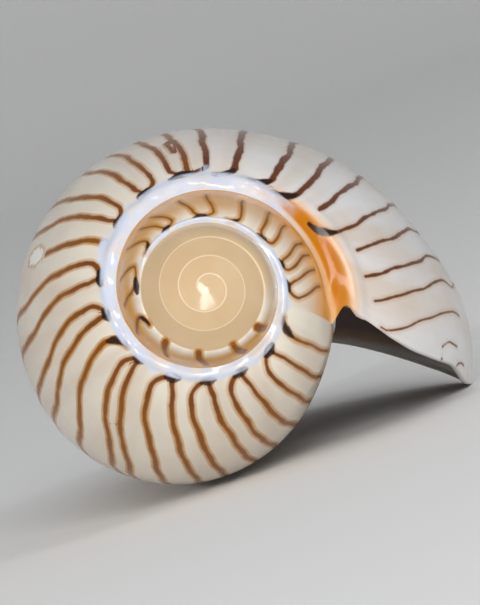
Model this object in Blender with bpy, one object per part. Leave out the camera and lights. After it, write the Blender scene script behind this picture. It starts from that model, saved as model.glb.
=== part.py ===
"""A volute seashell lying on its aperture.

The shell grew as one piece, so it is one closed solid. Every whorl follows the same rule: a section of the
tube is carried round the axis, and the radii and depths of its key points grow with the turn number. Turn 0
is the outer lip and earlier turns are negative. Depth is measured from the apex down the axis.
"""

import math

import bmesh
import bpy
import numpy as np
from mathutils import Matrix, Vector

MM = 0.001

# Turns of growth
FIRST_TURN = -6.0        # the coil starts as a point at the apex
LAST_WHORL = -1.0        # from here to the lip the whorl is left uncovered by the next one
ROWS_PER_TURN = 40
SPIRE_COLUMNS = 4        # across the band of each spire whorl that shows
SHOULDER_COLUMNS = 5     # from there out to the widest point
FLANK_COLUMNS = 11       # from the widest point down to the siphon rim
PILLAR_COLUMNS = 7       # from the siphon rim in and down to the tip of the pillar

# Growth of the section: (turn, millimetres)
SUTURE_RADIUS = ((-5.0, 0.0), (-2.0, 4.14), (-1.75, 4.55), (-1.25, 5.0), (-1.0, 5.25), (-0.75, 5.6),
                 (-0.5, 6.55), (-0.3, 7.8), (-0.2, 8.3), (-0.1, 8.95), (0.0, 9.55), (0.25, 10.8))
SUTURE_DEPTH = ((-5.0, 0.0), (-4.0, 0.18), (-3.0, 0.8), (-2.0, 2.1), (-1.75, 2.7), (-1.25, 3.8), (-1.0, 4.5),
                (-0.5, 7.0), (0.0, 10.2), (0.25, 11.8))
WIDEST_RADIUS = ((-2.2, 5.2), (-1.5, 7.4), (-1.0, 9.9), (-0.75, 12.6), (-0.5, 13.4), (-0.25, 15.6),
                 (-0.1, 19.2), (-0.03, 21.7), (0.0, 22.1), (0.1, 23.4))
WIDEST_DEPTH = 30.0      # at the lip
DEPTH_GROWTH = 1.85      # the widest point sinks by this factor a turn
RIM_RADIUS = ((-2.2, 1.6), (-1.0, 3.3), (-0.5, 5.0), (-0.25, 7.6), (0.0, 10.0), (0.1, 10.4))
RIM_DEPTH = ((-2.2, 22.0), (-1.0, 41.0), (-0.5, 63.5), (-0.3, 68.5), (-0.15, 71.5), (0.0, 73.5), (0.1, 74.0))
SPIRE_BULGE = ((-6.0, 0.03), (-3.0, 0.045), (-2.0, 0.22), (-1.5, 0.2), (-1.0, 0.2))   # part of the width
SHOULDER_POWER = ((-1.5, 1.6), (-1.0, 2.6), (-0.8, 1.6), (0.0, 1.6))   # 1 is a straight slope, 2 an ellipse
FLANK_POWER = 1.5        # how full the flank stays below the widest point

# Pillar (columella) in the axis, and its oblique folds
TIP_DEPTH = 75.0
PILLAR_RADIUS = ((20.0, 3.4), (41.0, 3.3), (60.0, 3.4), (68.0, 3.3), (72.5, 2.6), (74.5, 1.4), (75.0, 0.0))
FOLD_COUNT = 4
FOLD_HEIGHT = 0.8
FOLD_SPACING = 5.0
FOLD_FIRST_DEPTH = 45.0
FOLD_LEAD = 26.0         # how far a fold climbs the pillar in one turn

# Outer lip: (millimetres below the suture, turns that the edge runs ahead of turn 0, or hangs back)
LIP_LEAN = ((0.0, 0.0), (3.0, 0.004), (11.0, 0.006), (18.0, -0.006), (35.0, -0.038), (42.0, -0.06),
            (50.0, -0.09), (57.0, -0.12), (63.0, -0.15))
LIP_RUN = 0.25           # the lean fades out over this much of a turn behind the lip

# Cavity that the animal lived in
WALL = 1.7
LIP_WALL = 0.95          # the lip is thinner
CALLUS = 0.12            # glaze over the inner wall
CAVITY_BACK = -0.9       # the hollow closes this far back, out of sight
CAVITY_FRONT = 0.05      # the cutter runs out past the lip
CAVITY_ROWS = 32
CAVITY_POINTS = 30
CAVITY_ROUND = 0.55      # how square the hollow's corners are: 1 is an ellipse

# The spire leans by a few degrees on the body
SPIRE_LEAN_DEG = 10.5
SPIRE_LEAN_TOWARDS_DEG = 77.0
SPIRE_LEAN_DEPTH = 6.5

# Resting attitude on its aperture
ROLL_DEG = -30.8
APEX_UP_DEG = 10.2


def rail(keys, x):
    """Smooth curve through (x, y) keys; it overshoots no key and keeps its end slope beyond them."""
    kx = np.array([key[0] for key in keys])
    ky = np.array([key[1] for key in keys])
    step = np.diff(kx)
    slope = np.diff(ky) / step
    tangent = np.zeros(len(kx))
    same_way = slope[1:] * slope[:-1] > 0.0
    harmonic = 2.0 * slope[1:] * slope[:-1] / np.where(same_way, slope[1:] + slope[:-1], 1.0)
    tangent[1:-1] = np.where(same_way, harmonic, 0.0)
    tangent[0] = slope[0]
    tangent[-1] = slope[-1]
    x = np.asarray(x, dtype=float)
    held = np.clip(x, kx[0], kx[-1])
    index = np.clip(np.searchsorted(kx, held, side="right") - 1, 0, len(step) - 1)
    width = step[index]
    s = (held - kx[index]) / width
    start = (1.0 + 2.0 * s) * (1.0 - s) ** 2 * ky[index] + s * (1.0 - s) ** 2 * width * tangent[index]
    end = s * s * (3.0 - 2.0 * s) * ky[index + 1] - s * s * (1.0 - s) * width * tangent[index + 1]
    return start + end


def smooth_step(x, low, high):
    s = np.clip((np.asarray(x, dtype=float) - low) / (high - low), 0.0, 1.0)
    return s * s * (3.0 - 2.0 * s)


def widest_depth(turn):
    return WIDEST_DEPTH * DEPTH_GROWTH ** turn


def quarter_curve(x, power):
    """Quarter of a superellipse from (0, 0) to (1, 1)."""
    return (1.0 - (1.0 - x) ** power) ** (1.0 / power)


def whorl_radius(turn, depth):
    """Outer radius of a whorl at a depth: shoulder, flank, then the pillar below the siphon rim."""
    suture_r, suture_z = rail(SUTURE_RADIUS, turn), rail(SUTURE_DEPTH, turn)
    widest_r, widest_z = rail(WIDEST_RADIUS, turn), widest_depth(turn)
    rim_r, rim_z = rail(RIM_RADIUS, turn), rail(RIM_DEPTH, turn)
    climb = np.clip((depth - suture_z) / (widest_z - suture_z), 0.0, 1.0)
    shoulder = suture_r + (widest_r - suture_r) * quarter_curve(climb, rail(SHOULDER_POWER, turn))
    fall = np.clip((depth - widest_z) / (rim_z - widest_z), 0.0, 1.0)
    flank = rim_r + (widest_r - rim_r) * (1.0 - fall ** FLANK_POWER)
    whorl = np.where(depth < widest_z, shoulder, flank)
    return np.where(depth > rim_z, 0.0, whorl)


def place(turn, radius, depth):
    """Point in the shell's own frame: apex at the origin, pillar down -Z, the lip at +X."""
    angle = -2.0 * math.pi * np.asarray(turn, dtype=float)
    lean = math.tan(math.radians(SPIRE_LEAN_DEG)) * SPIRE_LEAN_DEPTH
    shift = lean * (1.0 - np.exp(-np.maximum(depth, 0.0) / SPIRE_LEAN_DEPTH))
    towards = math.radians(SPIRE_LEAN_TOWARDS_DEG)
    x = radius * np.cos(angle) + shift * math.cos(towards)
    y = radius * np.sin(angle) + shift * math.sin(towards)
    return np.stack([x, y, -np.asarray(depth, dtype=float)], axis=-1)


def spire_section(turn, columns):
    """Strip of a spire whorl between its own suture and the next one."""
    across = np.linspace(0.0, 1.0, columns + 1)
    radius_0, radius_1 = rail(SUTURE_RADIUS, turn), rail(SUTURE_RADIUS, turn + 1.0)
    depth_0, depth_1 = rail(SUTURE_DEPTH, turn), rail(SUTURE_DEPTH, turn + 1.0)
    radius = radius_0 + (radius_1 - radius_0) * across
    depth = depth_0 + (depth_1 - depth_0) * across
    width = math.hypot(radius_1 - radius_0, depth_1 - depth_0)
    depth = depth - rail(SPIRE_BULGE, turn) * width * 4.0 * across * (1.0 - across)
    return radius, depth


def shoulder_section(turn):
    """Section of the last whorl from the suture to its widest point."""
    suture_z, widest_z = rail(SUTURE_DEPTH, turn), widest_depth(turn)
    first_z = rail(SUTURE_DEPTH, LAST_WHORL)
    covered = (rail(SUTURE_DEPTH, 0.0) - first_z) / (widest_depth(LAST_WHORL) - first_z)
    power = float(rail(SHOULDER_POWER, turn))
    near_radius = np.linspace(0.0, quarter_curve(covered, power), SPIRE_COLUMNS + 1)
    near = 1.0 - (1.0 - near_radius ** power) ** (1.0 / power)
    far = covered + (1.0 - covered) * np.linspace(0.0, 1.0, SHOULDER_COLUMNS + 1)[1:]
    depth = suture_z + (widest_z - suture_z) * np.concatenate([near, far])
    return whorl_radius(turn, depth), depth


def body_section(turn):
    """Section of the last whorl from the suture to the tip of the pillar."""
    radius, depth = shoulder_section(turn)
    first_radius, first_depth = shoulder_section(LAST_WHORL)
    strip_radius, strip_depth = spire_section(LAST_WHORL, SPIRE_COLUMNS)
    near = slice(0, SPIRE_COLUMNS + 1)
    blend = 1.0 - smooth_step(turn, LAST_WHORL, LAST_WHORL + 0.15)
    radius[near] += blend * (strip_radius - first_radius[near])
    depth[near] += blend * (strip_depth - first_depth[near])
    widest_z, rim_z = widest_depth(turn), float(rail(RIM_DEPTH, turn))
    flank_z = np.linspace(widest_z, rim_z, FLANK_COLUMNS + 1)[1:]
    flank_r = whorl_radius(turn, flank_z - 1e-6)
    towards_tip = 1.0 - (1.0 - np.linspace(0.0, 1.0, PILLAR_COLUMNS)) ** 2
    pillar_z = rim_z + 0.3 + (TIP_DEPTH - rim_z - 0.3) * towards_tip
    pillar_r = rail(PILLAR_RADIUS, pillar_z)
    return np.concatenate([radius, flank_r, pillar_r]), np.concatenate([depth, flank_z, pillar_z])


def lip_lean(turn, depth):
    below_suture = depth - rail(SUTURE_DEPTH, turn)
    return rail(LIP_LEAN, below_suture) * smooth_step(turn, -LIP_RUN, 0.0)


def skin_mesh(name, rows, closed_rows):
    """Mesh through rows of points; rows may differ in length, and coincident points are merged."""
    shape = bmesh.new()
    grid = [[shape.verts.new(Vector(point) * MM) for point in row] for row in rows]
    for lower, upper in zip(grid, grid[1:]):
        width = min(len(lower), len(upper))
        last = width if closed_rows else width - 1
        for column in range(last):
            after = (column + 1) % width
            shape.faces.new((lower[column], upper[column], upper[after], lower[after]))
    bmesh.ops.remove_doubles(shape, verts=shape.verts, dist=1e-6)
    bmesh.ops.dissolve_degenerate(shape, edges=shape.edges, dist=1e-6)
    bmesh.ops.recalc_face_normals(shape, faces=shape.faces)
    bmesh.ops.triangulate(shape, faces=shape.faces)
    mesh = bpy.data.meshes.new(name)
    shape.to_mesh(mesh)
    shape.free()
    return mesh


def filled_shell_rows():
    """The outside of the shell, as if the aperture were filled: spire rows, the last whorl, then a cap."""
    rows = []
    spire_steps = round((LAST_WHORL - FIRST_TURN) * ROWS_PER_TURN)
    for step in range(spire_steps):
        turn = FIRST_TURN + step / ROWS_PER_TURN
        radius, depth = spire_section(turn, SPIRE_COLUMNS)
        rows.append(place(turn, radius, depth))
    for step in range(ROWS_PER_TURN + 1):
        turn = LAST_WHORL + step / ROWS_PER_TURN
        radius, depth = body_section(turn)
        rows.append(place(turn + lip_lean(turn, depth), radius, depth))
    cap = rows[spire_steps].copy()
    cap[:SPIRE_COLUMNS] = cap[SPIRE_COLUMNS]
    rows.append(cap)
    return rows


def fold_height(turn, depth):
    """Oblique folds that wind round the pillar."""
    phase = (depth - FOLD_FIRST_DEPTH - FOLD_LEAD * turn) / FOLD_SPACING
    inside = (phase > -0.5) & (phase < FOLD_COUNT - 0.5)
    return np.where(inside, FOLD_HEIGHT * np.cos(math.pi * (phase - np.round(phase))) ** 2, 0.0)


def cavity_row(turn):
    """One ring round the hollow of the tube, from its shoulder corner down the outer wall and back up."""
    top = float(rail(SUTURE_DEPTH, turn)) + 1.6
    rim = float(rail(RIM_DEPTH, turn))
    open_siphon = float(smooth_step(turn, -0.5, -0.4))
    bottom = rim - 4.0 + open_siphon * (TIP_DEPTH + 7.0 - rim)
    around = np.linspace(0.0, 2.0 * math.pi, CAVITY_POINTS, endpoint=False)
    depth = 0.5 * (top + bottom) - 0.5 * (bottom - top) * np.cos(around)
    wall = WALL + (LIP_WALL - WALL) * smooth_step(turn, -0.2, 0.0)
    outer = whorl_radius(turn, np.minimum(depth, rim - 0.01)) - wall
    inner = np.maximum(whorl_radius(turn - 1.0, depth), rail(PILLAR_RADIUS, depth)) + CALLUS
    inner = inner + fold_height(turn, depth)
    outer = np.maximum(outer, inner + 0.3)
    side = np.sign(np.sin(around)) * np.abs(np.sin(around)) ** CAVITY_ROUND
    radius = inner + (outer - inner) * 0.5 * (1.0 + side)
    return place(turn + lip_lean(turn, depth), radius, depth)


def cavity_rows():
    turns = np.linspace(CAVITY_BACK, CAVITY_FRONT, CAVITY_ROWS)
    rows = [cavity_row(turn) for turn in turns]
    back = np.repeat(rows[0].mean(axis=0)[None, :], CAVITY_POINTS, axis=0)
    front = np.repeat(rows[-1].mean(axis=0)[None, :], CAVITY_POINTS, axis=0)
    return [back] + rows + [front]


def glazed_shell():
    """Cream glazed lime of the shell."""
    material = bpy.data.materials.new("cream_shell_glaze")
    material.use_nodes = True
    shader = material.node_tree.nodes["Principled BSDF"]
    shader.inputs["Base Color"].default_value = (0.78, 0.66, 0.48, 1.0)
    shader.inputs["Roughness"].default_value = 0.22
    shader.inputs["Metallic"].default_value = 0.0
    return material


def resting_matrix():
    """Turns the upright shell on to its aperture: pillar along +Y, apex end towards -Y and raised."""
    roll = Matrix.Rotation(math.radians(ROLL_DEG), 4, "Z")
    lay_down = Matrix.Rotation(math.radians(90.0 - APEX_UP_DEG), 4, "X")
    return lay_down @ roll


def seat_on_ground(solid):
    """Puts the middle of the shell's footprint at the origin, touching the ground from above."""
    solid.data.transform(resting_matrix())
    points = np.array([tuple(vertex.co) for vertex in solid.data.vertices])
    low, high = points.min(axis=0), points.max(axis=0)
    offset = Vector((-(low[0] + high[0]) / 2.0, -(low[1] + high[1]) / 2.0, -low[2]))
    solid.data.transform(Matrix.Translation(offset))
    return offset


def add_object(name, mesh, collection):
    item = bpy.data.objects.new(name, mesh)
    collection.objects.link(item)
    return item


def make_shell():
    parts = bpy.data.collections.new("volute_shell")
    cutters = bpy.data.collections.new("cutters")
    for collection in (parts, cutters):
        bpy.context.scene.collection.children.link(collection)
    shell = add_object("shell", skin_mesh("shell", filled_shell_rows(), False), parts)
    cavity = add_object("cavity_cutter", skin_mesh("cavity_cutter", cavity_rows(), True), cutters)
    offset = seat_on_ground(shell)
    cavity.data.transform(Matrix.Translation(offset) @ resting_matrix())
    cavity.hide_render = True
    cavity.display_type = "WIRE"
    shell.data.materials.append(glazed_shell())
    hollow = shell.modifiers.new("hollow", "BOOLEAN")
    hollow.operation = "DIFFERENCE"
    hollow.solver = "EXACT"
    hollow.object = cavity
    shell.data.shade_smooth()
    return shell


for old in list(bpy.data.objects):
    bpy.data.objects.remove(old, do_unlink=True)
make_shell()
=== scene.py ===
"""The looks of a volute seashell that lies on its aperture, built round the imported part.

The shell is one piece, so it is one mesh here too. Its surface is worked out row by row from the same growth
rule as the solid, then a Geometry Nodes tree coils the rows round the pillar, finds how far each point is
from the colour lines, raises the fine relief and hollows the aperture.
"""

import math

import bpy
import numpy as np
from mathutils import Matrix, Vector


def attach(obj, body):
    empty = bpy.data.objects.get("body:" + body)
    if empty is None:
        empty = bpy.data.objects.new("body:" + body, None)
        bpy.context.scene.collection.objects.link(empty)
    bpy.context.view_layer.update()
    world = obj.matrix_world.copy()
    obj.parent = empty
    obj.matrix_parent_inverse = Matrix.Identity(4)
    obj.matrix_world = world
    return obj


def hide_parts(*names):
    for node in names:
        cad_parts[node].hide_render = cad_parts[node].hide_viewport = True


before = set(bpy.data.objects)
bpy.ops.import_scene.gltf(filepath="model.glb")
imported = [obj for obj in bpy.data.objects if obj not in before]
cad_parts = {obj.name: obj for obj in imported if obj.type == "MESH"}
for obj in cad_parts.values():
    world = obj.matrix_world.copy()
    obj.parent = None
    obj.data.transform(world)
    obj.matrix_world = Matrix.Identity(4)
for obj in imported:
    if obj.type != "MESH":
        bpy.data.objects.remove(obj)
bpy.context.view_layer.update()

# ------------------------------------------------------------------------------------------------------------
# The outside of the shell: one tube of lime that the edge of the animal's mantle laid down turn by turn round
# a pillar, each whorl fused over the one before along the suture. Turn 0 is the outer lip and earlier turns
# are negative; every size is in millimetres, and depth is measured from the apex down the axis.

FIRST_TURN = -6.0
FINE_TURN = -2.0         # from here on the rows are close enough together to carry the colour lines
LAST_WHORL = -1.0
COARSE_ROWS = 100        # rows a turn
FINE_ROWS = 400
STRIP_COLUMNS = 26       # from a suture to the next
SHOULDER_COLUMNS = 32    # from there to the widest point
FLANK_COLUMNS = 42       # from the widest point to the siphon rim
RIM_COLUMNS = 6          # round the edge of the rim
PILLAR_COLUMNS = 12
COLUMN_SPREAD = 1.5      # above 1 the columns crowd towards the suture
SLIVER = 0.03            # a spire row narrower than this shrinks on to its suture
JOIN_RUN = 0.15          # turns in which the rows of the spire become those of the last whorl

SUTURE_RADIUS = ((-5.0, 0.0), (-2.0, 4.14), (-1.75, 4.55), (-1.25, 5.0), (-1.0, 5.25), (-0.75, 5.6),
                 (-0.5, 6.55), (-0.3, 7.8), (-0.2, 8.3), (-0.1, 8.95), (0.0, 9.55), (0.25, 10.8))
SUTURE_DEPTH = ((-5.0, 0.0), (-4.0, 0.18), (-3.0, 0.8), (-2.0, 2.1), (-1.75, 2.7), (-1.25, 3.8), (-1.0, 4.5),
                (-0.5, 7.0), (0.0, 10.2), (0.25, 11.8))
WIDEST_RADIUS = ((-2.2, 5.2), (-1.5, 7.4), (-1.0, 9.9), (-0.75, 12.6), (-0.5, 13.4), (-0.25, 15.6),
                 (-0.1, 19.2), (-0.03, 21.7), (0.0, 22.1), (0.1, 23.4))
WIDEST_DEPTH = 30.0      # at the lip
DEPTH_GROWTH = 1.85      # the widest point sinks by this factor a turn
RIM_RADIUS = ((-2.2, 1.6), (-1.0, 3.3), (-0.5, 5.0), (-0.25, 7.6), (0.0, 10.0), (0.1, 10.4))
RIM_DEPTH = ((-2.2, 22.0), (-1.0, 41.0), (-0.5, 63.5), (-0.3, 68.5), (-0.15, 71.5), (0.0, 73.5), (0.1, 74.0))
SPIRE_BULGE = ((-6.0, 0.0), (-3.5, 0.008), (-2.5, 0.03), (-2.0, 0.22), (-1.5, 0.2),
               (-1.0, 0.2))          # part of the width
SHOULDER_POWER = ((-1.5, 1.6), (-1.0, 2.6), (-0.8, 1.6), (0.0, 1.6))   # 1 is a straight slope, 2 an ellipse
FLANK_POWER = 1.5
TIP_DEPTH = 75.0
PILLAR_START = 0.3       # below the rim
PILLAR_RADIUS = ((20.0, 3.4), (41.0, 3.3), (60.0, 3.4), (68.0, 3.3), (72.5, 2.6), (74.5, 1.4), (75.0, 0.0))
SIPHON_TURNS = (-0.5, -0.4)                  # the siphon opens between these turns
LIP_LEAN = ((0.0, 0.0), (0.07, -0.018), (0.2, -0.027), (0.35, -0.026), (0.6, -0.021), (1.1, -0.014),
            (1.9, -0.0085), (3.0, -0.004), (5.3, -0.001), (8.0, -0.002), (11.0, -0.004), (15.0, -0.001),
            (18.0, -0.004), (22.0, -0.01), (30.0, -0.025), (35.0, -0.036), (42.0, -0.055), (50.0, -0.083),
            (57.0, -0.113), (63.0, -0.15))          # (mm below the suture, turns ahead)
LIP_RUN = 0.25
WALL = 1.7
LIP_WALL = 0.5
THIN_LIP = (2.0, 8.0)    # from the notch to here, below the suture, the lip thickens
LIP_BEAD = 0.2           # how far the rounded edge of the lip stands forward
LIP_FILM = 0.05          # glaze that runs from the lip over the whorl before
FILM_ROWS = 8
LIP_ROWS = (0.03, 0.12, 0.27, 0.5, 0.73, 0.88, 0.97, 1.0)      # share of the way through its wall
HELD_COLUMNS = 3         # the lip starts and ends within these, at the suture and at the siphon rim
NOTCH_WALL = 0.3         # part of the lip's wall that is left at the notch
ENDLESS = 99.0           # longer than any run on the shell


def rail(keys, x):
    """Smooth curve through (x, y) keys that overshoots no key."""
    kx = np.array([key[0] for key in keys])
    ky = np.array([key[1] for key in keys])
    step = np.diff(kx)
    slope = np.diff(ky) / step
    tangent = np.zeros(len(kx))
    same_way = slope[1:] * slope[:-1] > 0.0
    harmonic = 2.0 * slope[1:] * slope[:-1] / np.where(same_way, slope[1:] + slope[:-1], 1.0)
    tangent[1:-1] = np.where(same_way, harmonic, 0.0)
    tangent[0] = slope[0]
    tangent[-1] = slope[-1]
    held = np.clip(np.asarray(x, dtype=float), kx[0], kx[-1])
    index = np.clip(np.searchsorted(kx, held, side="right") - 1, 0, len(step) - 1)
    width = step[index]
    s = (held - kx[index]) / width
    start = (1.0 + 2.0 * s) * (1.0 - s) ** 2 * ky[index] + s * (1.0 - s) ** 2 * width * tangent[index]
    end = s * s * (3.0 - 2.0 * s) * ky[index + 1] - s * s * (1.0 - s) * width * tangent[index + 1]
    return start + end


def smooth_step(x, low, high):
    s = np.clip((np.asarray(x, dtype=float) - low) / (high - low), 0.0, 1.0)
    return s * s * (3.0 - 2.0 * s)


def widest_depth(turn):
    return WIDEST_DEPTH * DEPTH_GROWTH ** turn


def quarter_curve(x, power):
    """Quarter of a superellipse from (0, 0) to (1, 1)."""
    return (1.0 - (1.0 - x) ** power) ** (1.0 / power)


def whorl_radius(turn, depth):
    """Outer radius of a whorl at a depth: shoulder, then flank, and nothing below the siphon rim."""
    suture_r, suture_z = rail(SUTURE_RADIUS, turn), rail(SUTURE_DEPTH, turn)
    widest_r, widest_z = rail(WIDEST_RADIUS, turn), widest_depth(turn)
    rim_r, rim_z = rail(RIM_RADIUS, turn), rail(RIM_DEPTH, turn)
    climb = np.clip((depth - suture_z) / (widest_z - suture_z), 0.0, 1.0)
    fall = np.clip((depth - widest_z) / (rim_z - widest_z), 0.0, 1.0)
    shoulder = suture_r + (widest_r - suture_r) * quarter_curve(climb, rail(SHOULDER_POWER, turn))
    flank = rim_r + (widest_r - rim_r) * (1.0 - fall ** FLANK_POWER)
    return np.where(depth > rim_z, 0.0, np.where(depth < widest_z, shoulder, flank))


def strip_section(turn):
    """Rows of a spire whorl between its own suture and the next one."""
    across = np.linspace(0.0, 1.0, STRIP_COLUMNS + 1) ** COLUMN_SPREAD
    radius_0, radius_1 = rail(SUTURE_RADIUS, turn), rail(SUTURE_RADIUS, turn + 1.0)
    depth_0, depth_1 = rail(SUTURE_DEPTH, turn), rail(SUTURE_DEPTH, turn + 1.0)
    width = np.hypot(radius_1 - radius_0, depth_1 - depth_0)
    across = np.where(width < SLIVER, np.floor(across), across)
    swell = rail(SPIRE_BULGE, turn) * width * 4.0 * across * (1.0 - across)
    return radius_0 + (radius_1 - radius_0) * across, depth_0 + (depth_1 - depth_0) * across - swell


def shoulder_section(turn):
    """Rows of the last whorl from the suture to its widest point."""
    suture_z, widest_z = rail(SUTURE_DEPTH, turn), widest_depth(turn)
    first_z = rail(SUTURE_DEPTH, LAST_WHORL)
    covered = (rail(SUTURE_DEPTH, 0.0) - first_z) / (widest_depth(LAST_WHORL) - first_z)
    power = rail(SHOULDER_POWER, turn)
    near_radius = quarter_curve(covered, power) * np.linspace(0.0, 1.0, STRIP_COLUMNS + 1) ** COLUMN_SPREAD
    near = 1.0 - (1.0 - near_radius ** power) ** (1.0 / power)
    far = covered + (1.0 - covered) * np.linspace(0.0, 1.0, SHOULDER_COLUMNS + 1)[1:]
    far = np.broadcast_to(far, (len(near), SHOULDER_COLUMNS))
    depth = suture_z + (widest_z - suture_z) * np.concatenate([near, far], axis=1)
    return whorl_radius(turn, depth), depth


def body_section(turn):
    """Rows of the last whorl from the suture to the tip of the pillar."""
    radius, depth = shoulder_section(turn)
    first_radius, first_depth = shoulder_section(np.array([[LAST_WHORL]]))
    strip_radius, strip_depth = strip_section(np.array([[LAST_WHORL]]))
    blend = 1.0 - smooth_step(turn, LAST_WHORL, LAST_WHORL + JOIN_RUN)
    near = slice(0, STRIP_COLUMNS + 1)
    radius[:, near] += blend * (strip_radius - first_radius[:, near])
    depth[:, near] += blend * (strip_depth - first_depth[:, near])
    widest_z, rim_z = widest_depth(turn), rail(RIM_DEPTH, turn)
    flank_z = widest_z + (rim_z - widest_z) * np.linspace(0.0, 1.0, FLANK_COLUMNS + 1)[1:]
    flank_r = whorl_radius(turn, flank_z - 1e-6)
    inwards = np.linspace(0.0, 1.0, RIM_COLUMNS + 1)[1:]
    opened = smooth_step(turn, *SIPHON_TURNS)
    rim_r = flank_r[:, -1:] - LIP_WALL * inwards * (NOTCH_WALL + (1.0 - NOTCH_WALL) * opened)
    rim_edge_z = rim_z + 0.25 * LIP_BEAD + LIP_BEAD * opened * np.sqrt(1.0 - (2.0 * inwards - 1.0) ** 2)
    downwards = 1.0 - (1.0 - np.linspace(0.0, 1.0, PILLAR_COLUMNS)) ** 2
    pillar_z = rim_z + PILLAR_START + (TIP_DEPTH - rim_z - PILLAR_START) * downwards
    return (np.concatenate([radius, flank_r, rim_r, rail(PILLAR_RADIUS, pillar_z)], axis=1),
            np.concatenate([depth, flank_z, rim_edge_z, pillar_z], axis=1))


def lip_wall(below):
    return LIP_WALL * (NOTCH_WALL + (1.0 - NOTCH_WALL) * smooth_step(below, *THIN_LIP))


def lip_lean(turn, depth):
    below_suture = depth - rail(SUTURE_DEPTH, turn)
    return rail(LIP_LEAN, below_suture) * smooth_step(turn, -LIP_RUN, 0.0)


def run_length(radius, depth):
    """Millimetres along each row from its suture."""
    steps = np.hypot(np.diff(radius, axis=1), np.diff(depth, axis=1))
    return np.concatenate([np.zeros((len(steps), 1)), np.cumsum(steps, axis=1)], axis=1)


coarse_turns = np.arange(FIRST_TURN, FINE_TURN, 1.0 / COARSE_ROWS)[:, None]
fine_turns = np.linspace(FINE_TURN, LAST_WHORL, FINE_ROWS + 1)[:, None]
body_turns = np.linspace(LAST_WHORL, 0.0, FINE_ROWS + 1)[:, None]
spire_turns = np.concatenate([coarse_turns, fine_turns])
spire_radius, spire_depth = strip_section(spire_turns)
body_radius, body_depth = body_section(body_turns)
spire_below = run_length(spire_radius, spire_depth)
body_below = run_length(body_radius, body_depth)

# Glaze and relief that follow the growth. The band along the suture is a low roll of milky glaze; behind the
# lip it sinks into the canal, the groove where the rear end of the aperture was, and a ridge bounds that.
BAND_WIDTH = ((-6.0, 0.05), (-2.0, 0.15), (-1.5, 0.35), (-1.2, 0.5), (-1.0, 0.8), (-0.8, 1.0), (-0.6, 1.15),
              (-0.45, 1.45), (-0.3, 1.75), (-0.22, 1.7), (-0.16, 1.2), (0.0, 1.0))
ROLL_TURNS = (-1.7, -1.3)            # the roll rises between these turns
ROLL_WIDTH = 1.1                     # in band widths
FIRST_BAND_TURNS = (-1.55, -1.38)    # the milky glaze sets in between these
BAND_TURNS = (-0.17, -0.13)          # and thins out between these
CANAL_TURNS = (-0.2, -0.05)
CANAL_END = (-0.045, -0.002)     # the groove runs out at the lip
CANAL_WIDTH = 3.0
CANAL_INSIDE = 1.25              # of which this much lies on the whorl before
RIDGE_START = 1.1
RIDGE_WIDTH = 2.0
CALLUS = 0.11                    # glaze that the aperture spread over the whorl before
CALLUS_TURNS = (-1.0, -0.94)
CALLUS_EDGE = 1.5
RIPPLE_TURNS = (-2.1, -1.5)      # the ripples set in between these
RIPPLE_EDGE = 1.5                # and fade out this close to a suture
AMBER_WASH = ((-2.05, 0.0), (-1.92, 1.0), (-1.45, 0.95), (-1.25, 0.85), (-1.12, 0.15), (-1.0, 0.0),
              (0.0, 0.0))
PEACH_WASH = ((-1.35, 0.0), (-1.2, 0.7), (-1.12, 1.0), (-1.0, 1.0), (-0.97, 0.0), (0.0, 0.0))
AMBER_ACROSS = (0.05, 0.42)      # where a wash deepens, from one suture, 0, to the next, 1
PEACH_ACROSS = (0.2, 0.8)
CREAM = 0.13                     # behind the lip the shell is faintly cream
CREAM_TURNS = (-0.12, -0.02)
CREAM_FADES = (4.0, 11.0)        # below the suture, as the next ones are
CANAL_PEACH = 0.8
CANAL_PEACH_FADES = (0.2, 2.6)
ORANGE_RISES = (0.0, 0.5)
ORANGE_FADES = (0.9, 2.2)
ORANGE = ((-0.24, 0.0), (-0.19, 0.5), (-0.13, 1.0), (-0.05, 0.9), (0.0, 0.7))     # the canal's floor


def hump(x):
    """1 in the middle of 0 to 1, level at both ends, 0 outside."""
    return np.sin(math.pi * np.clip(x, 0.0, 1.0)) ** 2


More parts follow.
